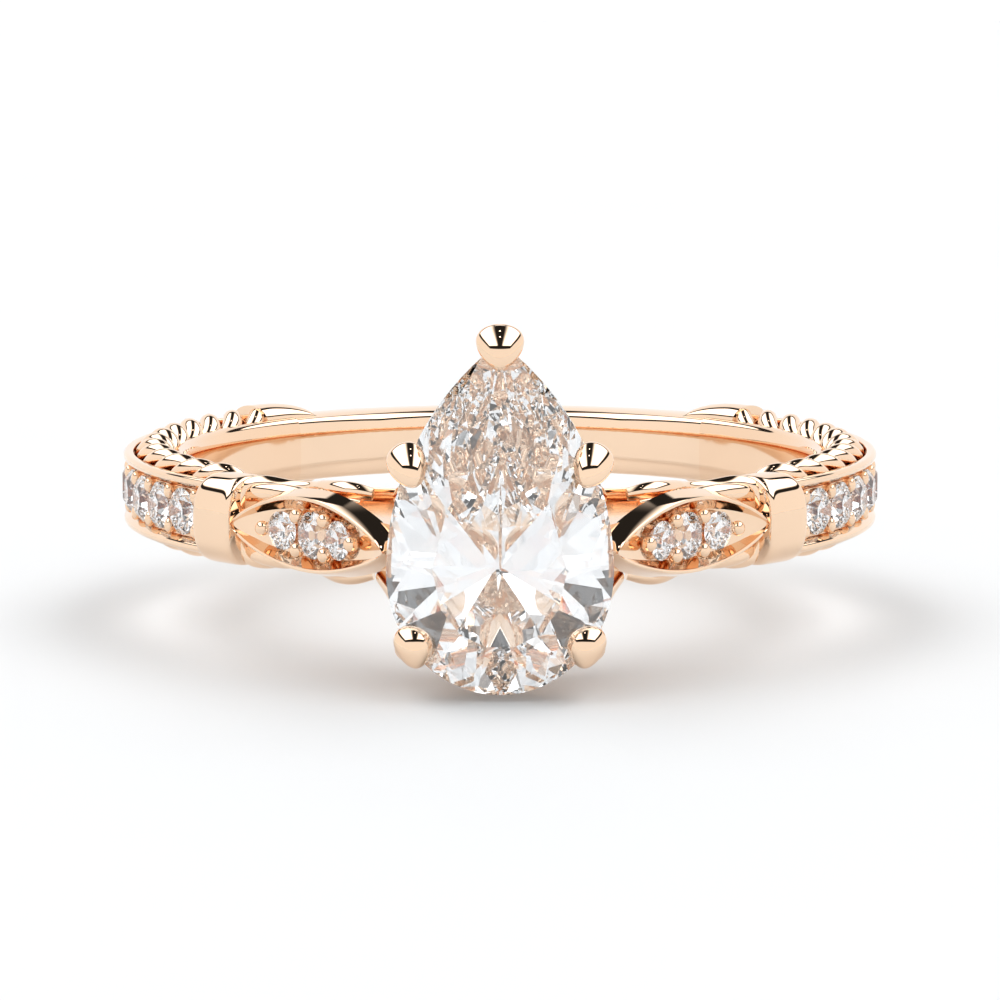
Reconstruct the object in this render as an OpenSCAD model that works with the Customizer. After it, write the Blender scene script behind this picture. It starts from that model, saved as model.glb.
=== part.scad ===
// Engagement ring in rose gold. A pear-cut centre stone sits in a five-claw head, between two
// leaf-shaped shoulder trays with three small stones each. Collars close the shoulders off, and
// each side of the band is a bead-set channel between twisted ropes that end in leaf caps.
//
// Frame: the origin is the centre of the finger bore and +Z its axis. The head points to -Y and
// +X is the wearer's right as the ring is seen from the head side. All lengths are millimetres.
// Band angles are measured around +Z from the head: 0 at the head, 90 at a side, 180 at the back.

/* [Band] */
// Inside diameter of the finger bore
bore_d = 16.5; // [15.5:0.1:18]
// Radial thickness of the band, from the bore to the outside of the side rims
band_t = 1.79; // [1.7:0.01:1.95]
// Width of the sides of the band, along the finger
side_w = 1.9; // [1.84:0.02:2]
// Width of the plain back of the band
back_w = 1.76; // [1.6:0.02:1.84]
// Length of the straight cylindrical wall in the middle of the comfort-fit bore
bore_flat = 0.7; // [0.6:0.05:1]
// How far the comfort-fit wall curves away from the bore at its edges
comfort = 0.2; // [0.1:0.01:0.25]
// Angle where the sides end and the plain back begins
back_angle = 137; // [136.5:0.5:140]

/* [Side stones] */
// Stones along each side
side_count = 11; // [6:1:11]
// Diameter of each side stone
side_d = 1.2; // [1:0.01:1.22]
// Angle from one side stone to the next
side_pitch = 7.44; // [7.35:0.01:7.45]
// Half-width of the oval beads that hold the side stones
bead_r = 0.14; // [0.12:0.01:0.15]

/* [Ropes] */
// Radius of the twisted rope on each flank, over both strands
rope_r = 0.56; // [0.5:0.01:0.56]
// Angle that one full turn of the rope takes around the band
rope_turn = 13.6; // [11:0.1:18]

/* [Collars] */
// Angle where each collar starts, on the shoulder side
collar_from = 40.3; // [40:0.1:41]
// Angle where each collar ends, on the side of the band
collar_to = 47.6; // [47:0.1:47.6]
// How far the collar stands out beyond the side rims
collar_proud = 0.48; // [0.3:0.02:0.5]
// Width of the collar, along the finger
collar_w = 2.28; // [2.1:0.02:2.5]

/* [Shoulders] */
// Angle of the inner tip of the leaf tray, next to the centre stone
petal_to = 12.3; // [12:0.1:13]
// How far the tray climbs away from the finger between its two tips
petal_rise = 2.49; // [2.2:0.01:2.6]
// Half of the tray's greatest width
petal_half = 0.93; // [0.86:0.01:1]
// Diameters of the three stones in each tray, from the collar inwards
petal_stone_d = [0.96, 1.17, 0.97];
// Radius of the beads that hold the tray stones
petal_bead_r = 0.18; // [0.14:0.01:0.2]
// Half-thickness of the arm under each tray
arm_half = 0.58; // [0.4:0.02:0.6]

/* [Centre stone] */
// Greatest width of the pear
pear_w = 5.42; // [5.2:0.02:5.6]
// Distance from the widest part of the pear up to its point
pear_up = 5.5; // [5.3:0.05:5.7]
// Distance from the widest part of the pear down to its round end
pear_down = 2.97; // [2.85:0.01:3.1]
// Height of the pear's widest part above the middle of the band, along the finger
pear_z = -0.45; // [-0.6:0.05:-0.3]
// Distance of the pear's girdle from the finger's axis
girdle_y = 12.5; // [12.3:0.05:12.8]

/* [Head] */
// Radius of the claw shafts
shaft_r = 0.32; // [0.28:0.01:0.36]
// Radius of the flattened pads at the claw ends
claw_r = 0.54; // [0.5:0.01:0.58]
// Radius of the gallery rail's wire
rail_r = 0.2; // [0.15:0.01:0.22]

/* [Display] */
// Sub-part to draw

/* [Hidden] */
$fn = 64;
bore_r = bore_d / 2;
sleeve_r = bore_r + 0.35;
outer_r = bore_r + band_t;
rope_centre = [bore_r + 0.94, 0.7];
floor_r = outer_r - 0.21;
girdle_r = outer_r - 0.18;
rim_in = outer_r - 0.27;
rim_low = 0.62;
side_first = collar_to + 7.3;
collar_r = outer_r + collar_proud;
petal_r = bore_r + 2.05;
petal_span = collar_from - petal_to;
stone_u = [0.334, 0.546, 0.716];
pair_u = [0.446, 0.636];
end_u = [0.212, 0.811];
arc_r = (pow(pear_w / 2, 2) + pow(pear_up, 2)) / pear_w;
crown_h = 0.15 * pear_w;
pavilion_h = 0.43 * pear_w;
gold = [0.93, 0.7, 0.58];
gold_dark = [0.84, 0.58, 0.46];
gem_white = [0.9, 0.94, 0.98];

SIDES = ["left", "right"];
EDGES = ["top", "bottom"];
CLAWS = ["tip", "upper_left", "upper_right", "lower_left", "lower_right"];

// A point at a radius, band angle and height on the left half of the ring
function around(r, a, z) = [-r * sin(a), -r * cos(a), z];

// Unit vector along v
function unit(v) = v / norm(v);

// Points of a circle of radius r across the direction d, turned by the angle w
function disc(c, d, r, n, w = 0) =
    let (u = unit(cross(d, abs(d[2]) > 0.9 * norm(d) ? [0, 1, 0] : [0, 0, 1])))
    let (v = cross(unit(d), u))
    [for (i = [0:n - 1]) c + r * (cos(360 * i / n + w) * u + sin(360 * i / n + w) * v)];

// Point of a curve bent from a to c by the control point b
function bend(a, b, c, t) = (1 - t) * (1 - t) * a + 2 * t * (1 - t) * b + t * t * c;

// Comfort-fit half profiles, with a straight wall between them
function bore_wall(h) =
    let (f = bore_flat / 2)
    concat(
        [for (i = [6:-1:0]) [bore_r + comfort * (1 - sqrt(1 - i * i / 36)), -f - (h - f) * i / 6]],
        [for (i = [0:6]) [bore_r + comfort * (1 - sqrt(1 - i * i / 36)), f + (h - f) * i / 6]]
    );

// Rounded outer corners at radius r and half width h, from the top corner to the bottom one
function outer_wall(r, h, c) = concat(
    [for (i = [0:4]) [r - c + c * sin(22.5 * i), h - c + c * cos(22.5 * i)]],
    [for (i = [4:-1:0]) [r - c + c * sin(22.5 * i), -h + c - c * cos(22.5 * i)]]
);

// Centre line of the leaf tray, from the collar at u = 0 to the centre stone at u = 1
function tray_r(u) = petal_r + petal_rise * pow(u, 2.65);
function tray_point(u, n = 0) =
    let (p = around(tray_r(u), collar_from - petal_span * u, 0))
    let (m = tray_out(u))
    p + n * m;
function tray_along(u) =
    let (a = max(u - 0.02, 0), b = min(u + 0.02, 1))
    unit(around(tray_r(b), collar_from - petal_span * b, 0) - around(tray_r(a), collar_from - petal_span * a, 0));
function tray_out(u) = let (t = tray_along(u)) [t[1], -t[0], 0];
function tray_half(u) = petal_half * pow(max(sin(180 * u), 0), 0.65);

// Distance from the pear's middle to its outline in the direction w, for a pear scaled by k
function pear_reach(w, k = 1) =
    k * (sin(w) < 0
        ? 1 / sqrt(pow(cos(w) / (pear_w / 2), 2) + pow(sin(w) / pear_down, 2))
        : let (c = arc_r - pear_w / 2)
          sqrt(pow(c * cos(w), 2) + arc_r * arc_r - c * c) - c * abs(cos(w)));
function pear_point(w, k, y) = [pear_reach(w, k) * cos(w), y, pear_z + pear_reach(w, k) * sin(w)];

// Directions of a pear's eight main facets; the half facets lie between them
PEAR_MAIN = [90, 42, 0, -45, -90, -135, -180, -222];
ROUND_MAIN = [for (i = [0:7]) 90 - 45 * i];

// Closes a run of equal rings of points into one solid
module skin(rings) {
    n = len(rings[0]);
    m = len(rings);
    points = [for (r = rings) each r];
    side = [
        for (i = [0:m - 2])
            for (j = [0:n - 1])
                let (a = i * n + j, b = i * n + (j + 1) % n)
                each [[a, b + n, b], [a, a + n, b + n]]
    ];
    first = [[for (j = [0:n - 1]) j]];
    last = [[for (j = [n - 1:-1:0]) (m - 1) * n + j]];
    polyhedron(points, concat(first, side, last));
}

// Closes a run of rings that ends where it starts
module loop_skin(rings) {
    n = len(rings[0]);
    m = len(rings);
    points = [for (r = rings) each r];
    side = [
        for (i = [0:m - 1])
            for (j = [0:n - 1])
                let (a = i * n + j, b = i * n + (j + 1) % n, e = ((i + 1) % m) * n)
                each [[a, e + (j + 1) % n, b], [a, e + j, e + (j + 1) % n]]
    ];
    polyhedron(points, side);
}

// Draws its children on the stated side; everything is modelled on the left
module on_side(s) {
    mirror([s == "right" ? 1 : 0, 0, 0]) children();
}

// Draws its children on the stated edge of the band; everything is modelled on the top
module on_edge(e) {
    mirror([0, 0, e == "bottom" ? 1 : 0]) children();
}

// Sweeps a profile around the left half of the band between two angles
module sweep_band(from, to) {
    rotate([0, 0, 270 - to]) rotate_extrude(angle = to - from) children();
}

// Turns a stone or bead so that its +Z points straight out of the band at an angle
module stand_out(r, a) {
    translate(around(r, a, 0)) rotate([0, 0, -a]) rotate([90, 0, 0]) children();
}

// Turns a stone so that its +Z points out of the leaf tray at u
module stand_on_tray(u, n) {
    t = tray_out(u);
    translate(tray_point(u, n)) rotate([0, 0, atan2(t[1], t[0]) + 90]) rotate([90, 0, 0]) children();
}

// Brilliant cut with eight main facets, girdle along the XY plane and table up. The function
// reach gives the outline's distance in a direction, and cuts divides each half facet's edge
module brilliant(main, reach, table, crown, girdle, depth, low, cuts = 1) {
    at = function (w, k, z) [k * reach(w) * cos(w), k * reach(w) * sin(w), z];
    next = function (i) (i + 1) % 8;
    gap = function (i) main[i] - (i < 7 ? main[i + 1] : main[0] - 360);
    m = 2 * cuts;
    n = 8 * m;
    star = table + 0.46 * (1 - table);
    star_z = [for (i = [0:7]) crown * min((1 - star * cos(gap(i) / 2)) / (1 - table), 0.8)];
    rim = [for (i = [0:7]) for (s = [0:m - 1]) main[i] - gap(i) * s / m];
    points = concat(
        [for (i = [0:7]) at(main[i], table, girdle + crown)],
        [for (i = [0:7]) at(main[i] - gap(i) / 2, star, girdle + star_z[i])],
        [for (w = rim) at(w, 1, girdle)],
        [for (w = rim) at(w, 1, 0)],
        [for (i = [0:7]) at(main[i] - gap(i) / 2, low, -depth * (1 - low * cos(gap(i) / 2)))],
        [[0, 0, -depth]]
    );
    top = 16;
    under = top + n;
    cone = under + n;
    faces = concat(
        [[for (i = [0:7]) i]],
        [for (i = [0:7]) [i, 8 + i, next(i)]],
        [for (i = [0:7]) [i, top + m * i, 8 + i]],
        [for (i = [0:7]) [next(i), 8 + i, top + m * next(i)]],
        [for (i = [0:7]) for (s = [0:m - 1]) [8 + i, top + m * i + s, top + (m * i + s + 1) % n]],
        [for (j = [0:n - 1]) [top + j, under + j, under + (j + 1) % n]],
        [for (j = [0:n - 1]) [top + j, under + (j + 1) % n, top + (j + 1) % n]],
        [for (i = [0:7]) for (s = [0:m - 1]) [cone + i, under + (m * i + s + 1) % n, under + m * i + s]],
        [for (i = [0:7]) [cone + 8, cone + i, under + m * i]],
        [for (i = [0:7]) [cone + 8, under + m * next(i), cone + i]]
    );
    polyhedron(points, faces);
}

// Round brilliant of diameter d with its girdle at z = 0
module round_stone(d) {
    color(gem_white)
        brilliant(ROUND_MAIN, function (w) d / 2, 0.56, 0.15 * d, 0.03 * d, 0.42 * d, 0.24);
}

// Cone-shaped seat for a round stone of diameter d
module seat(d) {
    translate([0, 0, -0.46 * d]) cylinder(h = 0.46 * d, r1 = 0, r2 = d / 2 + 0.01, $fn = 32);
    translate([0, 0, -0.001]) cylinder(h = 1, r = d / 2 + 0.01, $fn = 32);
}

// Inner band that runs from side to side under the head, with the comfort-fit bore
module finger_sleeve() {
    h = side_w / 2 - 0.02;
    color(gold)
        rotate([0, 0, 270 - back_angle])
            rotate_extrude(angle = 2 * back_angle, $fn = 128)
                polygon(concat(bore_wall(h), [[sleeve_r, h], [sleeve_r, -h]]));
}

// Plain back of the band
module back_shank() {
    h = back_w / 2;
    color(gold)
        rotate([0, 0, back_angle - 90])
            rotate_extrude(angle = 360 - 2 * back_angle, $fn = 128)
                polygon(concat(bore_wall(h), outer_wall(outer_r - 0.02, h, 0.28)));
}

// Body of one side: the floor under the stones, hollowed for the two ropes
module channel(s) {
    color(gold_dark)
        on_side(s)
            difference() {
                sweep_band(collar_to, back_angle)
                    difference() {
                        translate([sleeve_r, -rim_low]) square([floor_r - sleeve_r, 2 * rim_low]);
                        for (k = [-1, 1])
                            translate([rope_centre[0], k * rope_centre[1]]) circle(r = rope_r + 0.005);
                    }
                for (i = [0:side_count - 1])
                    stand_out(girdle_r, side_first + side_pitch * i) seat(side_d);
            }
}

// Raised rim rail along one edge of a channel
module rim(s, e) {
    w = outer_r - rim_in;
    h = side_w / 2 - rim_low;
    c = 0.09;
    color(gold)
        on_side(s)
            on_edge(e)
                sweep_band(collar_to, back_angle)
                    polygon(concat(
                        [[rim_in, rim_low], [outer_r - 0.05, rim_low + 0.12], [outer_r, rim_low + 0.16]],
                        [for (i = [0:4]) [outer_r - c + c * cos(22.5 * i), rim_low + h - c + c * sin(22.5 * i)]],
                        [[rim_in, rim_low + h - 0.03]]
                    ));
}

// Shared oval beads, in pairs between neighbouring side stones
module side_beads(s) {
    color(gold)
        on_side(s)
            for (i = [0:side_count])
                for (k = [-1, 1])
                    stand_out(floor_r + 0.06, side_first + side_pitch * (i - 0.5)) {
                        for (h = [0.38, 0.5]) translate([0, h * k, 0]) sphere(r = bead_r, $fn = 24);
                        translate([0, 0.44 * k, 0])
                            rotate([90, 0, 0])
                                cylinder(h = 0.12, r = bead_r, center = true, $fn = 24);
                    }
}

// Round stones along one side
module side_stones(s) {
    on_side(s)
        for (i = [0:side_count - 1])
            stand_out(girdle_r, side_first + side_pitch * i) round_stone(side_d);
}

// Two strands wound around each other along one flank
module rope(s, e) {
    from = collar_to;
    to = back_angle - 5.5;
    steps = round((to - from) / rope_turn * 10);
    r = rope_r / 2;
    color(gold)
        on_side(s)
            on_edge(e)
                for (k = [0, 180])
                    skin([
                        for (i = [0:steps])
                            let (a = from + (to - from) * i / steps)
                            let (w = k - 360 * (a - from) / rope_turn)
                            [for (j = [0:7])
                                let (q = 45 * j)
                                let (dr = r * cos(w) + 0.98 * r * cos(q + w))
                                let (dz = r * sin(w) + 0.98 * r * sin(q + w))
                                around(rope_centre[0] + dr, a, rope_centre[1] + dz)]
                    ]);
}

// Smooth leaf that closes off the end of a rope
module leaf_cap(s, e) {
    from = back_angle - 5.5;
    to = back_angle + 6.5;
    base = back_w / 2;
    color(gold)
        on_side(s)
            on_edge(e) {
                skin([
                    for (i = [0:12])
                        let (a = from + (to - from) * i / 12, v = max((a - from - 2) / (to - from - 2), 0))
                        let (h = 0.4 * sqrt(max(1 - v * v, 0.004)), b = 0.66 * (1 - 0.25 * v * v))
                        [for (j = [0:10])
                            around(rope_centre[0] + 0.08 + b * cos(18 * j), a, base + h * sin(18 * j))]
                ]);
                sweep_band(from, back_angle)
                    difference() {
                        translate(rope_centre) circle(r = rope_r);
                        translate([sleeve_r, base]) square([2, 1]);
                    }
            }
}

// Rounded collar around the band at the end of a shoulder
module collar(s) {
    c = (sleeve_r + collar_r) / 2;
    w = (collar_r - sleeve_r) / 2;
    h = collar_w / 2;
    color(gold)
        on_side(s)
            skin([
                for (i = [0:8])
                    let (t = -1 + i / 4, a = (collar_from + collar_to) / 2 + t * (collar_to - collar_from) / 2)
                    let (k = 0.08 * pow(abs(t), 8))
                    [for (j = [0:31])
                        let (q = 360 * j / 32, x = cos(q), y = sin(q))
                        let (m = pow(pow(abs(x), 2.6) + pow(abs(y), 2.6), -1 / 2.6))
                        around(max(c + (w - k) * m * x, sleeve_r), a, (h - k) * m * y)]
            ]);
}

// Side view of an arm or tray as a strip between two offsets from the tray's centre line
module tray_strip(low, high, n = 20) {
    polygon(concat(
        [for (i = [0:n]) let (p = tray_point(i / n, high)) [p[0], p[1]]],
        [for (i = [n:-1:0]) let (p = tray_point(i / n, low)) [p[0], p[1]]]
    ));
}

// Leaf outline seen from the front, pulled in by an inset
module leaf_outline(inset) {
    n = 24;
    side = [
        for (i = [1:n - 1])
            let (u = i / n, h = tray_half(u) - inset)
            if (h > 0.01)
            [tray_point(u)[0], h]
    ];
    tips = inset > 0 ? [] : [[tray_point(0)[0] - 0.02, 0.02], [tray_point(1)[0] + 0.02, 0.02]];
    shape = inset > 0 ? side : concat([tips[0]], side, [tips[1]]);
    m = len(shape);
    rotate([90, 0, 0])
        linear_extrude(height = 20)
            polygon(concat(shape, [for (i = [m - 1:-1:0]) [shape[i][0], -shape[i][1]]]));
}

// Leaf-shaped tray on the front of a shoulder, recessed inside its rim
module leaf_tray(s) {
    color(gold)
        on_side(s)
            difference() {
                intersection() {
                    linear_extrude(height = 3, center = true) tray_strip(-0.4, 0.1);
                    leaf_outline(0);
                }
                intersection() {
                    linear_extrude(height = 3, center = true) tray_strip(-0.04, 0.6);
                    leaf_outline(0.13);
                }
                for (i = [0:2]) stand_on_tray(stone_u[i], 0) seat(petal_stone_d[i]);
            }
}

// One round stone of a leaf tray
module tray_stone(s, i) {
    on_side(s) stand_on_tray(stone_u[i - 1], 0) round_stone(petal_stone_d[i - 1]);
}

// Beads between and around the stones of a leaf tray
module tray_beads(s) {
    color(gold)
        on_side(s) {
            for (u = end_u) stand_on_tray(u, 0.06) sphere(r = petal_bead_r, $fn = 24);
            for (u = pair_u)
                for (k = [-1, 1])
                    stand_on_tray(u, 0.06) translate([0, 0.42 * k, 0]) sphere(r = petal_bead_r, $fn = 24);
        }
}

// Arm that carries a leaf tray, from the inner band up to the head
module arm(s) {
    n = 16;
    color(gold_dark)
        on_side(s)
            difference() {
                linear_extrude(height = 2 * arm_half, center = true)
                    polygon(concat(
                        [for (i = [0:n]) let (p = tray_point(i / n, -0.4)) [p[0], p[1]]],
                        [for (a = [petal_to, collar_from]) [-7 * sin(a), -7 * cos(a)]]
                    ));
                cylinder(h = 4, r = sleeve_r, center = true, $fn = 128);
            }
}

// Stations of the two strands of a ribbon, from the collar to the head: band angle, radius from
// the bore wall, height and strand radius
UPPER_STRAND = [
    [41.2, 1.72, 0.1, 0.12], [41, 1.66, 0.5, 0.16], [40.2, 1.5, 0.84, 0.22], [38, 1.3, 0.94, 0.24],
    [34, 1.05, 0.9, 0.19], [30, 1.05, 0.92, 0.18], [26.5, 1.4, 1, 0.21], [23, 1.78, 1.04, 0.24],
    [20.5, 1.85, 1.04, 0.22], [18, 1.8, 0.98, 0.15]
];
LOWER_STRAND = [
    [41, 1.4, 0.5, 0.15], [38.5, 1.55, 0.74, 0.22], [34.5, 1.6, 0.8, 0.26], [30.5, 1.6, 0.8, 0.23],
    [27.5, 1.66, 0.76, 0.17], [24.5, 1.78, 0.78, 0.2], [22, 1.86, 0.8, 0.19], [19.5, 1.9, 0.76, 0.12]
];

// Station of a strand at t from 0 to 1, eased between its stations
function station(s, t) =
    let (n = len(s) - 1, i = min(floor(t * n), n - 1), f = t * n - i)
    let (a = s[max(i - 1, 0)], b = s[i], c = s[i + 1], d = s[min(i + 2, n)])
    0.5 * (2 * b + f * (c - a) + f * f * (2 * a - 5 * b + 4 * c - d) + f * f * f * (3 * b - a - 3 * c + d));
function on_strand(s, t) = let (p = station(s, t)) around(bore_r + p[1], p[0], p[2]);

// Two smooth strands that cross along the edge of a shoulder, from the collar to the head
module ribbon(s, e) {
    color(gold)
        on_side(s)
            on_edge(e)
                for (strand = [UPPER_STRAND, LOWER_STRAND])
                    skin([
                        for (i = [0:36])
                            let (t = i / 36)
                            let (d = on_strand(strand, min(t + 0.01, 1)) - on_strand(strand, max(t - 0.01, 0)))
                            disc(on_strand(strand, t), d, station(strand, t)[3], 12)
                    ]);
}

// Foot of the head: a pear-shaped ring saddled on the inner band
module head_base() {
    color(gold_dark)
        difference() {
            rotate([90, 0, 0])
                linear_extrude(height = bore_r + 1.5)
                    difference() {
                        polygon([for (w = [0:10:350]) let (p = pear_point(w, 0.68, 0)) [p[0], p[2]]]);
                        polygon([for (w = [0:10:350]) let (p = pear_point(w, 0.58, 0)) [p[0], p[2]]]);
                    }
            cylinder(h = 12, r = sleeve_r, center = true, $fn = 128);
            for (s = SIDES) arm(s);
        }
}

// Wire rail under the girdle that ties the claws together
module gallery_rail() {
    color(gold)
        loop_skin([
            for (i = [0:35])
                let (w = 90 - 10 * i, k = 0.86)
                let (p = pear_point(w, k, 1 - girdle_y))
                let (d = pear_point(w - 2, k, 1 - girdle_y) - pear_point(w + 2, k, 1 - girdle_y))
                disc(p, d, rail_r, 8)
        ]);
}

// Foot, bend and tip of each claw's shaft, in the order of the claw names
CLAW_PATHS = [
    [[0, 2.6 - girdle_y, 2.95], [0, 1.4 - girdle_y, 5.2], [0, -girdle_y - 0.22, pear_z + pear_up + 0.04]],
    [[-2.3, 2.65 - girdle_y, 0.95], [-1.8, 1.1 - girdle_y, 1.5], [-2.27, -girdle_y - 0.2, 2.24]],
    [[2.3, 2.65 - girdle_y, 0.95], [1.8, 1.1 - girdle_y, 1.5], [2.27, -girdle_y - 0.2, 2.24]],
    [[-2.75, 2.65 - girdle_y, -0.95], [-1.9, 1.2 - girdle_y, -1.75], [-2.14, -girdle_y - 0.2, -2.3]],
    [[2.75, 2.65 - girdle_y, -0.95], [1.9, 1.2 - girdle_y, -1.75], [2.14, -girdle_y - 0.2, -2.3]]
];

// Flattened round pad of radius r that reaches h to its front and back
module cushion(r, h) {
    skin([
        for (i = [0:9])
            let (a = 9 + 18 * i)
            [for (j = [0:19]) [r * sin(a) * cos(18 * j + 4), h * cos(a), r * sin(a) * sin(18 * j + 4)]]
    ]);
}

// Claw: a bent shaft that ends in a rounded pad over the edge of the stone
module claw(name) {
    path = CLAW_PATHS[search([name], CLAWS)[0]];
    n = 12;
    tip = path[2];
    middle = [0, tip[1], pear_z];
    inward = unit(middle - tip);
    color(gold)
        difference() {
            union() {
                skin([
                    for (i = [0:n])
                        let (t = i / n, p = bend(path[0], path[1], path[2], t))
                        let (d = bend(path[0], path[1], path[2], t + 0.01) - bend(path[0], path[1], path[2], t - 0.01))
                        disc(p, d, shaft_r + 0.06 * t, 12)
                ]);
                translate(tip + 0.14 * inward + [0, -0.06, 0])
                    rotate([-28, 0, 0])
                        cushion(claw_r, 0.7 * claw_r);
            }
            stone_shape();
        }
}

// The pear brilliant as a solid
module stone_shape() {
    translate([0, -girdle_y, pear_z])
        rotate([90, 0, 0])
            brilliant(PEAR_MAIN, function (w) pear_reach(w), 0.56, crown_h, 0.12, pavilion_h, 0.24, 4);
}

// Pear-cut centre stone
module centre_stone() {
    color(gem_white) stone_shape();
}

finger_sleeve();
back_shank();
for (s = SIDES) {
    channel(s);
    collar(s);
    side_beads(s);
    side_stones(s);
    arm(s);
    leaf_tray(s);
    tray_beads(s);
    for (i = [1:3]) {
        tray_stone(s, i);
    }
    for (e = EDGES) {
        rim(s, e);
        rope(s, e);
        leaf_cap(s, e);
        ribbon(s, e);
    }
}
head_base();
gallery_rail();
for (c = CLAWS) {
    claw(c);
}
centre_stone();
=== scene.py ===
"""Looks of the engagement ring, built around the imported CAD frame. Lengths below are millimetres."""

import math
import random

import bmesh
import bpy
from mathutils import Matrix, Vector


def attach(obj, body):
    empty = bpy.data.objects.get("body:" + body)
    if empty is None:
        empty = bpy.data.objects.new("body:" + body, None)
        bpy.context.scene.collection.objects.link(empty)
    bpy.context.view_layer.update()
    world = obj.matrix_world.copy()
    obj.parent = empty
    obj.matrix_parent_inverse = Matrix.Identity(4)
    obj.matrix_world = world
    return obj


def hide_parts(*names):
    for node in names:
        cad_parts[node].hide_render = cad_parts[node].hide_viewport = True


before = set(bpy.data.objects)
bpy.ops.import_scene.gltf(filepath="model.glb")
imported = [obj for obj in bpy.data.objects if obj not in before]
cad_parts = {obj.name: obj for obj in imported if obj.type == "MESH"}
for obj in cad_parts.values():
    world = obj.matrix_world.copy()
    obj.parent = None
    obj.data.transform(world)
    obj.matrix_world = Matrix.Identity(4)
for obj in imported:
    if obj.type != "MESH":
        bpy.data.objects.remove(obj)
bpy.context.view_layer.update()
MM = 0.001
SIDES = ("left", "right")
EDGES = ("top", "bottom")

# Sizes of the ring, as in the CAD
BORE = 8.25
COMFORT = 0.2
FLAT = 0.35
SLEEVE = BORE + 0.35
OUTER = BORE + 1.79
SIDE_HALF = 0.95
BACK_HALF = 0.88
BACK = 137.0
ROPE_R, ROPE_Z = BORE + 0.94, 0.70
RIM_IN, RIM_LOW = OUTER - 0.27, 0.62
FLOOR_R, GIRDLE_R = OUTER - 0.21, OUTER - 0.18
COLLAR_FROM, COLLAR_TO = 40.3, 47.6
FIRST, PITCH, COUNT, SIDE_D = COLLAR_TO + 7.3, 7.44, 11, 1.2
PEAR_W, PEAR_UP, PEAR_DOWN, PEAR_Z = 5.42, 5.5, 2.97, -0.45
GIRDLE_Y = 12.5
ARC = ((PEAR_W / 2) ** 2 + PEAR_UP**2) / PEAR_W
PETAL_TO, PETAL_R, RISE = 12.3, BORE + 2.05, 2.49
STONE_U = (0.334, 0.546, 0.716)
STONE_D = (0.96, 1.17, 0.97)
PAIR_U, END_U = (0.446, 0.636), (0.212, 0.811)


def sin(a):
    return math.sin(math.radians(a))


def cos(a):
    return math.cos(math.radians(a))


def mix(a, b, t):
    return a + (b - a) * t


def smooth(t):
    t = min(max(t, 0.0), 1.0)
    return t * t * (3 - 2 * t)


# ---------------------------------------------------------------- materials


class Nodes:
    """Short helpers to write a node tree."""

    def __init__(self, tree):
        self.tree = tree

    def add(self, kind, **values):
        node = self.tree.nodes.new(kind)
        for key, value in values.items():
            if hasattr(node, key) and not key[0].isupper():
                setattr(node, key, value)
            else:
                node.inputs[key.replace("_", " ")].default_value = value
        return node

    def link(self, a, b):
        self.tree.links.new(a, b)

    def math(self, kind, a, b=0.0):
        node = self.tree.nodes.new("ShaderNodeMath")
        node.operation = kind
        for i, v in enumerate((a, b)):
            if isinstance(v, (int, float)):
                node.inputs[i].default_value = v
            else:
                self.tree.links.new(v, node.inputs[i])
        return node.outputs[0]


def gold(name, tone, rough, wear, painted_cavity_shade):
    """Polished rose gold: faint colour drift, fine polishing marks, and painted shade that darkens the base
    colour in the recesses.
    """
    m = bpy.data.materials.new(name)
    m.use_nodes = True
    n = Nodes(m.node_tree)
    shader = m.node_tree.nodes["Principled BSDF"]
    shader.inputs["Metallic"].default_value = 1.0
    shader.inputs["Specular IOR Level"].default_value = 0.5
    where = n.add("ShaderNodeTexCoord").outputs["Object"]
    drift = n.add("ShaderNodeTexNoise", Scale=420.0, Detail=2.0)
    n.link(where, drift.inputs["Vector"])
    ramp = n.add("ShaderNodeValToRGB")
    ramp.color_ramp.elements[0].position = 0.3
    ramp.color_ramp.elements[1].position = 0.72
    ramp.color_ramp.elements[0].color = (*[c * 0.975 for c in tone], 1)
    ramp.color_ramp.elements[1].color = (*[min(c * 1.02, 1) for c in tone], 1)
    n.link(drift.outputs["Fac"], ramp.inputs["Fac"])
    # Painted shade: ambient occlusion darkens and deepens the base colour in recesses and between parts.
    painted_shade_occlusion = n.add("ShaderNodeAmbientOcclusion", Distance=0.00045, samples=4)
    dark = n.add("ShaderNodeMix", data_type="RGBA", blend_type="MULTIPLY")
    shade = n.add("ShaderNodeValToRGB")
    shade.color_ramp.elements[0].position = 0.05
    shade.color_ramp.elements[1].position = 0.6
    shade.color_ramp.elements[0].color = (1 - painted_cavity_shade * 0.6, 1 - painted_cavity_shade * 0.85, 1 - painted_cavity_shade, 1)
    shade.color_ramp.elements[1].color = (1, 1, 1, 1)
    n.link(painted_shade_occlusion.outputs["AO"], shade.inputs["Fac"])
    dark.inputs["Factor"].default_value = 1.0
    n.link(ramp.outputs["Color"], dark.inputs[6])
    n.link(shade.outputs["Color"], dark.inputs[7])
    n.link(dark.outputs[2], shader.inputs["Base Color"])
    marks = n.add("ShaderNodeTexNoise", Scale=2600.0, Detail=3.0)
    n.link(where, marks.inputs["Vector"])
    span = n.add("ShaderNodeMapRange")
    span.inputs["To Min"].default_value = rough
    span.inputs["To Max"].default_value = rough + wear
    n.link(marks.outputs["Fac"], span.inputs["Value"])
    n.link(span.outputs["Result"], shader.inputs["Roughness"])
    bump = n.add("ShaderNodeBump", Strength=0.012, Distance=0.00001)
    n.link(marks.outputs["Fac"], bump.inputs["Height"])
    n.link(bump.outputs["Normal"], shader.inputs["Normal"])
    return m


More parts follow.
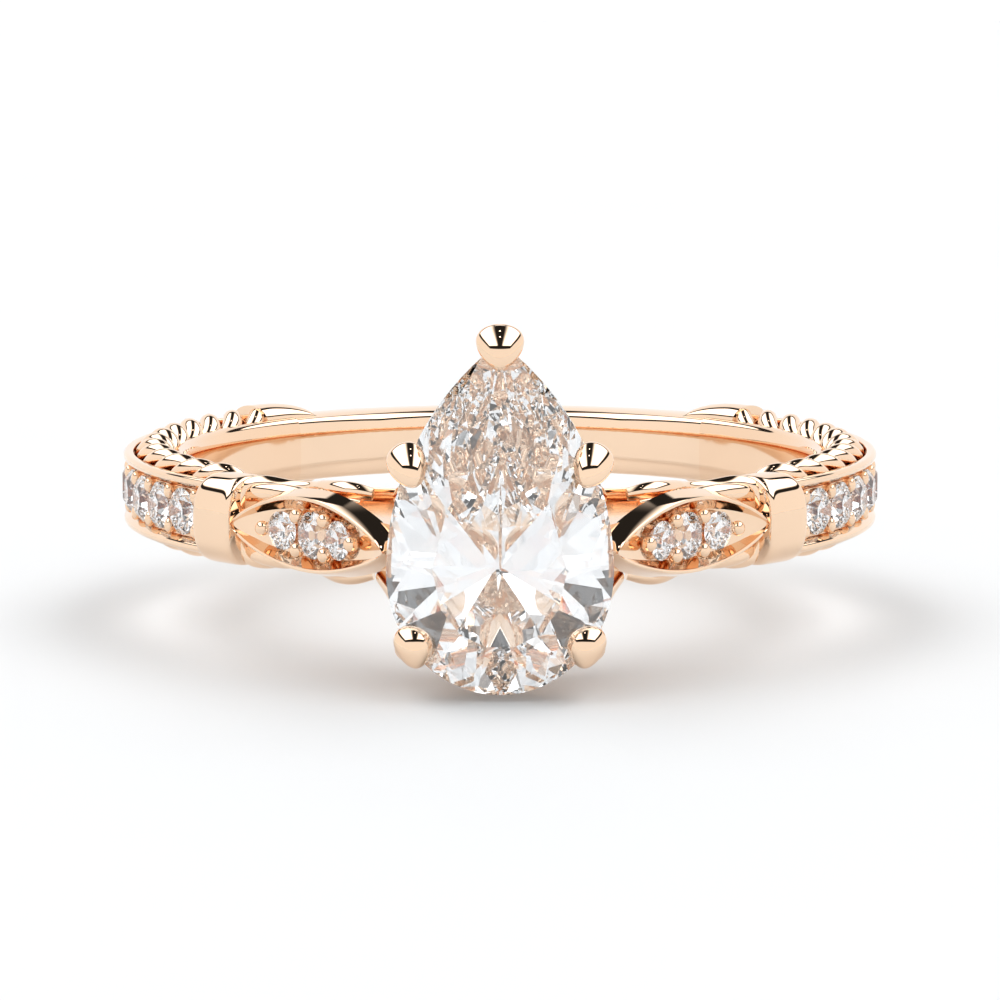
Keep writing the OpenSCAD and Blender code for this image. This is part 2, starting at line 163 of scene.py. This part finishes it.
def stone(name, tint):
    """Clear cut stone with hardly any colour and faint internal clouding."""
    m = bpy.data.materials.new(name)
    m.use_nodes = True
    n = Nodes(m.node_tree)
    shader = m.node_tree.nodes["Principled BSDF"]
    shader.inputs["Transmission Weight"].default_value = 1.0
    shader.inputs["IOR"].default_value = 2.42
    shader.inputs["Roughness"].default_value = 0.0
    where = n.add("ShaderNodeTexCoord").outputs["Object"]
    cloud = n.add("ShaderNodeTexNoise", Scale=900.0, Detail=3.0)
    n.link(where, cloud.inputs["Vector"])
    ramp = n.add("ShaderNodeValToRGB")
    ramp.color_ramp.elements[0].color = (*tint, 1)
    ramp.color_ramp.elements[1].color = (0.97, 0.985, 1, 1)
    ramp.color_ramp.elements[0].position = 0.25
    ramp.color_ramp.elements[1].position = 0.6
    n.link(cloud.outputs["Fac"], ramp.inputs["Fac"])
    n.link(ramp.outputs["Color"], shader.inputs["Base Color"])
    return m


TONE = (0.94, 0.69, 0.495)
# The last number of each gold sets how strongly painted shade darkens its recesses.
MATS = {
    "gold_polished": gold("rose_gold_polished", TONE, 0.015, 0.03, 0.25),
    # The bore's gold is a darker, deeper copy of the tone: painted shade inside the band. Its higher
    # roughness belongs to the metal.
    "gold_bore": gold("rose_gold_bore", (0.925, 0.655, 0.455), 0.03, 0.05, 0.2),
    "gold_rope": gold("rose_gold_rope", TONE, 0.02, 0.04, 0.75),
    "gold_claws": gold("rose_gold_claws", TONE, 0.012, 0.025, 0.15),
    "gold_beads": gold("rose_gold_beads", (0.935, 0.675, 0.475), 0.03, 0.05, 0.3),
    # A darker, deeper copy of the rose gold for recessed parts: painted shade.
    "gold_recess": gold("rose_gold_recess", (0.91, 0.62, 0.41), 0.08, 0.1, 0.5),
    "small_stones": stone("small_stones_clear", (0.97, 0.98, 1.0)),
    "centre_stone": stone("centre_stone_clear", (0.92, 0.965, 1.0)),
}

# ---------------------------------------------------------------- mesh tools


def around(r, a, z):
    """Point at a radius, band angle and height, on the left half of the ring."""
    return Vector((-r * sin(a), -r * cos(a), z))


def build(name, parts, slot, node, sharp):
    """Makes one piece from (points, faces) parts, in millimetres, that stands for a CAD node.

    Edges sharper than the angle sharp stay hard. At 0 every face is flat.
    """
    bm = bmesh.new()
    for points, faces in parts:
        made = [bm.verts.new([c * MM for c in p]) for p in points]
        for f in faces:
            bm.faces.new([made[i] for i in f])
    bmesh.ops.remove_doubles(bm, verts=bm.verts, dist=1e-8)
    bmesh.ops.recalc_face_normals(bm, faces=bm.faces)
    mesh = bpy.data.meshes.new(name)
    bm.to_mesh(mesh)
    bm.free()
    mesh.polygons.foreach_set("use_smooth", [sharp != 0] * len(mesh.polygons))
    if sharp:
        mesh.set_sharp_from_angle(angle=math.radians(sharp))
    obj = bpy.data.objects.new(name, mesh)
    bpy.context.scene.collection.objects.link(obj)
    mesh.materials.append(MATS[slot])
    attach(obj, "root")
    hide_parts(node)
    return obj


def mirrored(parts, x=False, z=False):
    """The parts mirrored in X and in Z, with their faces turned back outwards."""
    if not (x or z):
        return parts
    out = []
    for points, faces in parts:
        moved = [Vector((-p[0] if x else p[0], p[1], -p[2] if z else p[2])) for p in points]
        out.append((moved, [f[::-1] for f in faces] if x != z else faces))
    return out


def skin(rings, loop=False):
    """Joins equal rings into one closed surface. A ring runs anticlockwise about the way ahead."""
    n, m = len(rings[0]), len(rings)
    points = [p for r in rings for p in r]
    faces = []
    for i in range(m if loop else m - 1):
        k = (i + 1) % m
        for j in range(n):
            q = (j + 1) % n
            faces.append([i * n + j, i * n + q, k * n + q, k * n + j])
    if not loop:
        faces.append(list(range(n))[::-1])
        faces.append([(m - 1) * n + j for j in range(n)])
    return points, faces


def band(profile, start, end, steps):
    """Sweeps a profile of (radius, height) points around the left half of the band."""
    return skin([[around(r, mix(start, end, i / steps), z) for r, z in profile] for i in range(steps + 1)])


def disc(c, d, r, n, up):
    """Ring of n points around c, square to d."""
    d = d.normalized()
    u = d.cross(up).normalized()
    v = d.cross(u)
    return [c + u * (r * cos(360 * i / n)) + v * (r * sin(360 * i / n)) for i in range(n)]


def tube(path, radii, n=20, loop=False, up=Vector((0, 0, 1))):
    """Round bar along a path of points."""
    rings = []
    m = len(path)
    for i, p in enumerate(path):
        a = path[(i - 1) % m] if loop else path[max(i - 1, 0)]
        b = path[(i + 1) % m] if loop else path[min(i + 1, m - 1)]
        rings.append(disc(p, b - a, radii[i], n, up))
    return skin(rings, loop)


def ball(c, r, n=16, squash=(1, 1, 1), turn=None):
    """Closed ball with its poles on the local Z axis."""
    points, faces = [], []
    m = n // 2
    for i in range(1, m):
        for j in range(n):
            a, b = 180 * i / m, 360 * j / n
            p = Vector((sin(a) * cos(b) * squash[0], sin(a) * sin(b) * squash[1], cos(a) * squash[2])) * r
            points.append(c + (turn @ p if turn else p))
    tops = [Vector((0, 0, r * squash[2])), Vector((0, 0, -r * squash[2]))]
    points += [c + (turn @ t if turn else t) for t in tops]
    top, low = len(points) - 2, len(points) - 1
    for i in range(m - 2):
        for j in range(n):
            q = (j + 1) % n
            faces.append([i * n + j, (i + 1) * n + j, (i + 1) * n + q, i * n + q])
    for j in range(n):
        q = (j + 1) % n
        faces.append([top, j, q])
        faces.append([low, (m - 2) * n + q, (m - 2) * n + j])
    return points, faces


def out_frame(o):
    """Axes of a stone whose table faces the direction o, in the plane Z = 0."""
    z = o.normalized()
    y = Vector((0, 0, 1))
    x = y.cross(z)
    return Matrix((x, y, z)).transposed()


def gem(outline, mains, crown, girdle, depth, table, seed):
    """Cuts a brilliant from a prism, one flat facet at a time. Its girdle's lower edge is at z = 0.

    The outline is a list of points around the stone, and mains are the directions its main facets face.
    """
    chance = random.Random(seed)
    bm = bmesh.new()
    rings = [[bm.verts.new((x, y, z)) for x, y in outline] for z in (-depth * 1.3, girdle + crown)]
    n = len(outline)
    for i in range(n):
        bm.faces.new([rings[0][i], rings[0][(i + 1) % n], rings[1][(i + 1) % n], rings[1][i]])
    bm.faces.new(rings[0][::-1])
    bm.faces.new(rings[1])

    def reach_at(w):
        """How far the outline goes in the direction w."""
        return max(x * cos(w) + y * sin(w) for x, y in outline)

    def facet(w, start, slope, up):
        """Flat cut facing the direction w that leaves the outline at height start."""
        w += chance.uniform(-0.5, 0.5)
        slope *= 1 + chance.uniform(-0.012, 0.012)
        reach = reach_at(w)
        normal = Vector((slope * cos(w), slope * sin(w), 1 if up else -1))
        geom = bm.verts[:] + bm.edges[:] + bm.faces[:]
        at = Vector((reach * cos(w), reach * sin(w), start))
        cut = bmesh.ops.bisect_plane(bm, geom=geom, plane_co=at, plane_no=normal, clear_outer=True, dist=1e-6)
        edges = [e for e in cut["geom_cut"] if isinstance(e, bmesh.types.BMEdge) and e.is_boundary]
        if edges:
            bmesh.ops.contextual_create(bm, geom=edges)

    def lean(w):
        """Slope of a pavilion facet: through the culet, but never flatter than 31 degrees."""
        return max(depth / reach_at(w), 0.6)

    count = len(mains)
    for i, w in enumerate(mains):
        gap = (mains[(i + 1) % count] - w) % 360
        top = crown / ((1 - table) * reach_at(w))
        facet(w, -0.01 * depth, lean(w), False)
        facet(w, girdle, top, True)
        for part in (0.26, 0.74):
            v = w + gap * part
            facet(v, 0.0, 1.07 * lean(v), False)
            facet(v, girdle, 1.22 * crown / ((1 - table) * reach_at(v)), True)
        facet(w + gap / 2, 0.0, 1.2 * lean(w + gap / 2), False)
        star = crown / ((1 - table) * reach_at(w + gap / 2))
        facet(w + gap / 2, girdle + 0.42 * crown, 0.62 * star, True)
    bmesh.ops.remove_doubles(bm, verts=bm.verts, dist=1e-5)
    bmesh.ops.recalc_face_normals(bm, faces=bm.faces)
    bm.verts.index_update()
    part = [v.co.copy() for v in bm.verts], [[v.index for v in f.verts] for f in bm.faces]
    bm.free()
    return part


def placed(part, origin, turn):
    points, faces = part
    return [origin + turn @ p for p in points], faces


def seat(d):
    """Cone-shaped seat for a round stone, open above."""
    rings = []
    for z, r in ((-0.5 * d, 0.02), (-0.02, d / 2 + 0.005), (0.0, d / 2 + 0.01), (0.8, d / 2 + 0.01)):
        rings.append([Vector((r * cos(7.5 * j), r * sin(7.5 * j), z)) for j in range(48)])
    return skin(rings)


def cut(obj, parts):
    """Cuts closed parts out of a piece."""
    bm = bmesh.new()
    for points, faces in parts:
        made = [bm.verts.new([c * MM for c in p]) for p in points]
        for f in faces:
            bm.faces.new([made[i] for i in f])
    bmesh.ops.recalc_face_normals(bm, faces=bm.faces)
    mesh = bpy.data.meshes.new("cutter")
    bm.to_mesh(mesh)
    bm.free()
    tool = bpy.data.objects.new("cutter", mesh)
    bpy.context.scene.collection.objects.link(tool)
    step = obj.modifiers.new("seat", "BOOLEAN")
    step.operation, step.solver, step.object = "DIFFERENCE", "EXACT", tool
    bpy.context.view_layer.update()
    shape = bpy.data.meshes.new_from_object(obj.evaluated_get(bpy.context.evaluated_depsgraph_get()))
    obj.modifiers.clear()
    old, name = obj.data, obj.data.name
    obj.data = shape
    bpy.data.meshes.remove(old)
    shape.name = name
    bpy.data.objects.remove(tool)
    bpy.data.meshes.remove(mesh)


# Round brilliant of diameter 1
CIRCLE = [(0.5 * cos(5 * i), 0.5 * sin(5 * i)) for i in range(72)]
ROUND = gem(CIRCLE, [45 * i for i in range(8)], crown=0.15, girdle=0.03, depth=0.425, table=0.56, seed=3)


def round_stone(d):
    return [p * d for p in ROUND[0]], ROUND[1]


# ---------------------------------------------------------------- band


def bore_wall(h, steps=12):
    """Comfort-fit wall of the bore, from its lower edge to its upper edge."""
    half = []
    for i in range(steps + 1):
        t = i / steps
        half.append((BORE + COMFORT * (1 - math.sqrt(1 - t * t)), FLAT + (h - FLAT) * t))
    return [(r, -z) for r, z in half[::-1]] + half


def corner(r, z, c, start, end, steps=8):
    """Round corner of radius c about (r, z), between two angles of the profile."""
    angles = [mix(start, end, i / steps) for i in range(steps + 1)]
    return [(r + c * cos(a), z + c * sin(a)) for a in angles]


sleeve_half = SIDE_HALF - 0.02
profile = bore_wall(sleeve_half - 0.03)
c = 0.04
profile += corner(SLEEVE - c, sleeve_half - c, c, 90, 0, 4)
profile += corner(SLEEVE - c, -sleeve_half + c, c, 0, -90, 4)
build("finger_sleeve_polished", [band(profile[::-1], -BACK, BACK, 240)], "gold_bore", "finger_sleeve", 40)

c = 0.28
profile = bore_wall(BACK_HALF)
profile += corner(OUTER - 0.02 - c, BACK_HALF - c, c, 90, 0)
profile += corner(OUTER - 0.02 - c, -BACK_HALF + c, c, 0, -90)
build("back_shank_polished", [band(profile[::-1], BACK, 360 - BACK, 96)], "gold_polished", "back_shank", 40)

for s in SIDES:
    x = s == "right"
    for e in EDGES:
        z = e == "bottom"
        # Rim rail with a soft rounded crest
        h = SIDE_HALF - RIM_LOW
        rail = [(RIM_IN, RIM_LOW), (RIM_IN + 0.02, RIM_LOW - 0.01)]
        rail += [(OUTER - 0.05, RIM_LOW + 0.12), (OUTER - 0.01, RIM_LOW + 0.155), (OUTER, RIM_LOW + 0.18)]
        rail += corner(OUTER - 0.11, RIM_LOW + h - 0.11, 0.11, 0, 90, 8)
        rail += corner(RIM_IN + 0.06, RIM_LOW + h - 0.06, 0.06, 90, 180, 4)
        rim = mirrored([band(rail, COLLAR_TO - 0.1, BACK, 120)], x, z)
        build(f"rim_{s}_{e}_polished", rim, "gold_polished", f"rim_{s}_{e}", 50)

        # Rope of two strands
        start, end, steps, strands = COLLAR_TO - 0.6, BACK - 4.0, 220, []
        for phase in (0, 180):
            path = []
            for i in range(steps + 1):
                a = mix(start, end, i / steps)
                w = phase - 360 * (a - start) / 13.6
                path.append(around(ROPE_R + 0.29 * cos(w), a, ROPE_Z + 0.3 * sin(w)))
            strands.append(tube(path, [0.27] * (steps + 1), 20))
        build(f"rope_{s}_{e}_twisted", mirrored(strands, x, z), "gold_rope", f"rope_{s}_{e}", 60)

        # Leaf that closes the rope
        rings = []
        for i in range(25):
            a = mix(BACK - 6.5, BACK + 6.5, i / 24)
            v = max((a - BACK + 4) / 10.5, 0)
            h = 0.42 * math.sqrt(max(1 - v * v, 0.0004))
            b = 0.68 * (1 - 0.22 * v * v)
            mid, foot = ROPE_R + 0.07, BACK_HALF - 0.25
            arch = []
            for j in range(17):
                q = 180 * j / 16
                arch.append(around(mid + b * cos(q), a, BACK_HALF + h * sin(q)))
            rings.append(arch + [around(mid - b, a, foot), around(mid + b, a, foot)])
        leaf = mirrored([skin(rings)], x, z)
        build(f"leaf_cap_{s}_{e}_polished", leaf, "gold_polished", f"leaf_cap_{s}_{e}", 60)

    # Collar: a cushion-edged band
    mid, wide, tall = (SLEEVE + OUTER + 0.48) / 2, (OUTER + 0.48 - SLEEVE) / 2, 1.14
    rings = []
    for i in range(25):
        t = -1 + i / 12
        a = (COLLAR_FROM + COLLAR_TO) / 2 + t * (COLLAR_TO - COLLAR_FROM) / 2
        k = 0.08 * abs(t) ** 9
        ring = []
        for j in range(72):
            q = 5 * j
            m = (abs(cos(q)) ** 2.6 + abs(sin(q)) ** 2.6) ** (-1 / 2.6)
            ring.append(around(max(mid + (wide - k) * m * cos(q), SLEEVE - 0.02), a, (tall - k) * m * sin(q)))
        rings.append(ring)
    build(f"collar_{s}_polished", mirrored([skin(rings)], x), "gold_polished", f"collar_{s}", 60)

    # Side stones and the beads between them
    gems = []
    for i in range(COUNT):
        a = FIRST + PITCH * i
        gems.append(placed(round_stone(SIDE_D), around(GIRDLE_R, a, 0), out_frame(around(1, a, 0))))
    build(f"side_stones_{s}_cut", mirrored(gems, x), "small_stones", f"side_stones_{s}", 0)
    beads = []
    for i in range(COUNT + 1):
        a = FIRST + PITCH * (i - 0.5)
        for k in (-1, 1):
            middle = around(FLOOR_R + 0.06, a, 0.44 * k)
            beads.append(ball(middle, 0.14, 20, (1, 1.43, 1.1), out_frame(around(1, a, 0))))
    build(f"side_beads_{s}_burnished", mirrored(beads, x), "gold_beads", f"side_beads_{s}", 60)

# ---------------------------------------------------------------- shoulders


def tray_r(u):
    return PETAL_R + RISE * max(u, 0) ** 2.65


def tray_angle(u):
    return COLLAR_FROM - (COLLAR_FROM - PETAL_TO) * u


def tray_along(u):
    a, b = max(u - 0.02, 0), min(u + 0.02, 1)
    return (around(tray_r(b), tray_angle(b), 0) - around(tray_r(a), tray_angle(a), 0)).normalized()


def tray_out(u):
    t = tray_along(u)
    return Vector((t.y, -t.x, 0))


def tray_point(u, n=0.0, z=0.0):
    return around(tray_r(u), tray_angle(u), 0) + tray_out(u) * n + Vector((0, 0, z))


def tray_half(u):
    return 0.93 * max(sin(180 * min(max(u, 0), 1)), 0) ** 0.65


# Strands of a ribbon from the collar to the head: angle, radius past the bore, height, strand radius
UPPER = [
    (41.2, 1.72, 0.1, 0.12), (41, 1.66, 0.5, 0.16), (40.2, 1.5, 0.84, 0.22), (38, 1.3, 0.94, 0.24),
    (34, 1.05, 0.9, 0.19), (30, 1.05, 0.92, 0.18), (26.5, 1.4, 1, 0.21), (23, 1.78, 1.04, 0.24),
    (20.5, 1.85, 1.04, 0.22), (18, 1.8, 0.98, 0.15),
]
LOWER = [
    (41, 1.4, 0.5, 0.15), (38.5, 1.55, 0.74, 0.22), (34.5, 1.6, 0.8, 0.26), (30.5, 1.6, 0.8, 0.23),
    (27.5, 1.66, 0.76, 0.17), (24.5, 1.78, 0.78, 0.2), (22, 1.86, 0.8, 0.19), (19.5, 1.9, 0.76, 0.12),
]


def station(rows, t):
    """Eased value of the stations at t from 0 to 1."""
    n = len(rows) - 1
    i = min(int(t * n), n - 1)
    f = t * n - i
    out = []
    for a, b, c, d in zip(rows[max(i - 1, 0)], rows[i], rows[i + 1], rows[min(i + 2, n)]):
        square, cube = 2 * a - 5 * b + 4 * c - d, 3 * b - a - 3 * c + d
        out.append(0.5 * (2 * b + f * (c - a) + f * f * square + f**3 * cube))
    return out


for s in SIDES:
    x = s == "right"
    # Leaf tray: raised rim, sloping bright-cut walls and a narrow floor
    rings = []
    n = 64
    for i in range(n + 1):
        u = i / n
        w = max(tray_half(u), 0.02)
        lip = min(0.09, w * 0.3)
        floor = 0.62 * w
        deep = -0.14 * smooth(w / 0.55)
        crest = 0.1
        side = [
            (w + 0.14 * smooth(w / 0.3), -0.45), (w + 0.05, -0.12), (w + 0.01, crest - 0.05),
            (w - 0.01, crest - 0.01), (w - lip * 0.5, crest), (w - lip, crest - 0.015),
            (w - lip - 0.02 * w, crest - 0.05), (floor, deep),
        ]
        prof = side + [(0.0, deep - 0.02 * w)] + [(-z, h) for z, h in side[::-1]]
        rings.append([tray_point(u, h, z) for z, h in prof])
    tray = skin(rings)
    # The stones' seats are cut once, and the right tray is the pierced left one mirrored
    if not x:
        obj = build("leaf_tray_left_polished", [tray], "gold_polished", "leaf_tray_left", 35)
        for u, d in zip(STONE_U, STONE_D):
            cut(obj, [placed(seat(d), tray_point(u), out_frame(tray_out(u)))])
        obj.data.set_sharp_from_angle(angle=math.radians(35))
        pierced = [v.co / MM for v in obj.data.vertices], [list(p.vertices) for p in obj.data.polygons]
    else:
        pierced = mirrored([pierced], x)[0]
        build("leaf_tray_right_polished", [pierced], "gold_polished", "leaf_tray_right", 35)
    # Tray stones
    for k, (u, d) in enumerate(zip(STONE_U, STONE_D)):
        cut_gem = placed(round_stone(d), tray_point(u), out_frame(tray_out(u)))
        node = f"tray_stone_{s}_{k + 1}"
        build(f"{node}_cut", mirrored([cut_gem], x), "small_stones", node, 0)
    # Beads
    beads = [ball(tray_point(u, 0.06), 0.19, 20) for u in END_U]
    beads += [ball(tray_point(u, 0.06, 0.42 * k), 0.19, 20) for u in PAIR_U for k in (-1, 1)]
    build(f"tray_beads_{s}_burnished", mirrored(beads, x), "gold_beads", f"tray_beads_{s}", 60)

    for e in EDGES:
        z = e == "bottom"
        strands = []
        for stations in (UPPER, LOWER):
            path, radii = [], []
            for i in range(91):
                a, r, h, w = station(stations, i / 90)
                path.append(around(BORE + r, a, h))
                radii.append(w)
            strands.append(tube(path, radii, 28))
        build(f"ribbon_{s}_{e}_crossed", mirrored(strands, x, z), "gold_polished", f"ribbon_{s}_{e}", 60)

# ---------------------------------------------------------------- head


def pear_reach(w, k=1.0):
    if sin(w) < 0:
        return k / math.sqrt((cos(w) / (PEAR_W / 2)) ** 2 + (sin(w) / PEAR_DOWN) ** 2)
    c = ARC - PEAR_W / 2
    return k * (math.sqrt((c * cos(w)) ** 2 + ARC * ARC - c * c) - c * abs(cos(w)))


def pear_point(w, k, y):
    return Vector((pear_reach(w, k) * cos(w), y, PEAR_Z + pear_reach(w, k) * sin(w)))


outline = [(p.x, p.z - PEAR_Z) for p in (pear_point(3.75 * i - 90, 1, 0) for i in range(96))]
turn = Matrix(((1, 0, 0), (0, 0, -1), (0, 1, 0)))
facing = [-90, -64, -38, -12, 14, 34, 50, 90, 130, 146, 166, 192, 218, 244]
pear = gem(outline, facing, crown=0.15 * PEAR_W, girdle=0.12, depth=0.43 * PEAR_W, table=0.56, seed=11)
pear = placed(pear, Vector((0, -GIRDLE_Y, PEAR_Z)), turn)
build("centre_stone_cut", [pear], "centre_stone", "centre_stone", 0)

rail = [pear_point(90 - 5 * i, 0.86, 1 - GIRDLE_Y) for i in range(72)]
wire = tube(rail, [0.2] * 72, 16, True, up=Vector((0, 1, 0)))
build("gallery_rail_polished", [wire], "gold_polished", "gallery_rail", 60)


def pad(c, turn, lean, size, taper):
    """Claw pad: a cushion that narrows towards its lower end and leans back at its top."""
    points, faces = [], []
    n, m = 48, 24
    frame_of = Matrix.Rotation(math.radians(turn), 3, "Y") @ Matrix.Rotation(math.radians(lean), 3, "X")
    for i in range(1, m):
        for j in range(n):
            a, b = 180 * i / m, 360 * j / n
            x, y, z = sin(a) * cos(b), -cos(a), sin(a) * sin(b)
            x *= (1 + taper * z) * size[0]
            points.append(c + frame_of @ Vector((x, y * size[1], z * size[2])))
    points += [c + frame_of @ Vector((0, -size[1], 0)), c + frame_of @ Vector((0, size[1], 0))]
    for i in range(m - 2):
        for j in range(n):
            q = (j + 1) % n
            faces.append([i * n + j, (i + 1) * n + j, (i + 1) * n + q, i * n + q])
    for j in range(n):
        q = (j + 1) % n
        faces.append([(m - 1) * n, j, q])
        faces.append([(m - 1) * n + 1, (m - 2) * n + q, (m - 2) * n + j])
    return points, faces


# Foot, bend and tip of each claw's shaft, with Y counted from the girdle
CLAWS = {
    "tip": [(0, 2.6, 2.95), (0, 1.4, 5.2), (0, -0.22, PEAR_Z + PEAR_UP + 0.04)],
    "upper_left": [(-2.3, 2.65, 0.95), (-1.8, 1.1, 1.5), (-2.27, -0.2, 2.24)],
    "lower_left": [(-2.75, 2.65, -0.95), (-1.9, 1.2, -1.75), (-2.14, -0.2, -2.3)],
}
# Each pad's turn about Y, lean about X, half sizes and taper
PADS = {
    "tip": (0, -36, (0.55, 0.36, 0.6), 0.3),
    "upper_left": (-24, -38, (0.47, 0.34, 0.62), 0.24),
    "lower_left": (-6, -20, (0.48, 0.4, 0.54), 0.26),
}
for name, stops in CLAWS.items():
    a, b, c = (Vector((x, y - GIRDLE_Y, z)) for x, y, z in stops)
    inward = (Vector((0, c.y, PEAR_Z)) - c).normalized()
    path, radii = [], []
    for i in range(25):
        t = i / 24
        path.append(a * (1 - t) ** 2 + b * 2 * t * (1 - t) + c * t * t)
        radii.append(0.32 + 0.06 * t)
    turn, lean, size, taper = PADS[name]
    shaft = tube(path, radii, 24, up=Vector((1, 0, 0.001)) if name == "tip" else Vector((0, 0, 1)))
    parts = [shaft, pad(c + inward * 0.14 + Vector((0, -0.08, 0)), turn, lean, size, taper)]
    for s in ("",) if name == "tip" else SIDES:
        full = name.replace("left", s) if s else name
        build(f"claw_{full}_polished", mirrored(parts, s == "right"), "gold_claws", f"claw_{full}", 60)

# Bodies that keep the CAD's mesh, in the darker recess gold: painted shade on the channels, arms and head
# base
for node in ("channel_left", "channel_right", "arm_left", "arm_right", "head_base"):
    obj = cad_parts[node]
    obj.data.materials.clear()
    obj.data.materials.append(MATS["gold_recess"])

# ---------------------------------------------------------------- floor, light and camera

bm = bmesh.new()
bmesh.ops.create_grid(bm, x_segments=8, y_segments=8, size=0.6)
mesh = bpy.data.meshes.new("studio_floor")
bm.to_mesh(mesh)
bm.free()
floor = bpy.data.objects.new("studio_floor", mesh)
floor.location = (0, 0, -0.0036)
bpy.context.scene.collection.objects.link(floor)
paper = bpy.data.materials.new("pale_paper")
paper.use_nodes = True
n = Nodes(paper.node_tree)
shader = paper.node_tree.nodes["Principled BSDF"]
shader.inputs["Roughness"].default_value = 0.7
shader.inputs["Specular IOR Level"].default_value = 0.2
grain = n.add("ShaderNodeTexNoise", Scale=90.0, Detail=3.0)
ramp = n.add("ShaderNodeValToRGB")
ramp.color_ramp.elements[0].color = (0.78, 0.792, 0.802, 1)
ramp.color_ramp.elements[1].color = (0.8, 0.812, 0.822, 1)
n.link(grain.outputs["Fac"], ramp.inputs["Fac"])
n.link(ramp.outputs["Color"], shader.inputs["Base Color"])
mesh.materials.append(paper)

# World: a white studio with a dark canopy overhead that holds two long soft panels and two lamps
world = bpy.data.worlds.new("studio")
bpy.context.scene.world = world
world.use_nodes = True
tree = world.node_tree
tree.nodes.clear()
n = Nodes(tree)
coord = n.add("ShaderNodeTexCoord")
split = n.add("ShaderNodeSeparateXYZ")
n.link(coord.outputs["Generated"], split.inputs[0])
up = n.math("MAXIMUM", split.outputs["Z"], 0.001)
px = n.math("ABSOLUTE", n.math("DIVIDE", split.outputs["X"], up))
py = n.math("DIVIDE", split.outputs["Y"], up)


def inside(value, low, high, soft):
    """1 where low < value < high, with soft edges."""
    a = n.add("ShaderNodeMapRange", interpolation_type="SMOOTHSTEP")
    a.inputs["From Min"].default_value = low - soft
    a.inputs["From Max"].default_value = low + soft
    n.link(value, a.inputs["Value"])
    b = n.add("ShaderNodeMapRange", interpolation_type="SMOOTHSTEP")
    b.inputs["From Min"].default_value = high - soft
    b.inputs["From Max"].default_value = high + soft
    n.link(value, b.inputs["Value"])
    return n.math("SUBTRACT", a.outputs["Result"], b.outputs["Result"])


sky = n.math("GREATER_THAN", split.outputs["Z"], 0.0)
canopy = n.math("MULTIPLY", inside(px, -2, 1.65, 0.05), inside(py, -1.4, 1.5, 0.05))
canopy = n.math("MULTIPLY", canopy, sky)
panel = n.math("MULTIPLY", inside(px, 0.24, 1.2, 0.1), inside(py, -0.95, 1.12, 0.03))
panel = n.math("MULTIPLY", panel, sky)
level = n.math("SUBTRACT", 1.05, n.math("MULTIPLY", canopy, 1.03))
level = n.math("ADD", level, n.math("MULTIPLY", panel, 2.4))
for spot in (-0.28, 0.12):
    gap = n.math("ABSOLUTE", n.math("SUBTRACT", py, spot))
    r2 = n.math("ADD", n.math("MULTIPLY", px, px), n.math("POWER", gap, 2.0))
    dot = n.math("MULTIPLY", n.math("LESS_THAN", r2, 0.0009), sky)
    level = n.math("ADD", level, n.math("MULTIPLY", dot, 6.0))
back = n.add("ShaderNodeBackground")
n.link(level, back.inputs["Strength"])
back.inputs["Color"].default_value = (1.0, 1.0, 1.0, 1)
out = n.add("ShaderNodeOutputWorld")
n.link(back.outputs[0], out.inputs[0])

# Camera: distance, degrees above the ring, thousandths of the frame to a millimetre, and upward shift
DISTANCE, TILT, SCALE, RAISE = 110.0, 7.9, 37.3, 19.5
data = bpy.data.cameras.new("camera")
cam = bpy.data.objects.new("camera", data)
bpy.context.scene.collection.objects.link(cam)
bpy.context.scene.camera = cam
data.sensor_width = 36
data.lens = 36 * SCALE * DISTANCE / 1000
data.shift_y = -RAISE / 1000
data.clip_start, data.clip_end = 0.002, 5
cam.location = Vector((0, -DISTANCE * cos(TILT), DISTANCE * sin(TILT))) * MM
cam.rotation_euler = (math.radians(90 - TILT), 0, 0)

scene = bpy.context.scene
scene.view_settings.view_transform = "Standard"
scene.cycles.max_bounces = 32
scene.cycles.transmission_bounces = 32
scene.cycles.glossy_bounces = 16
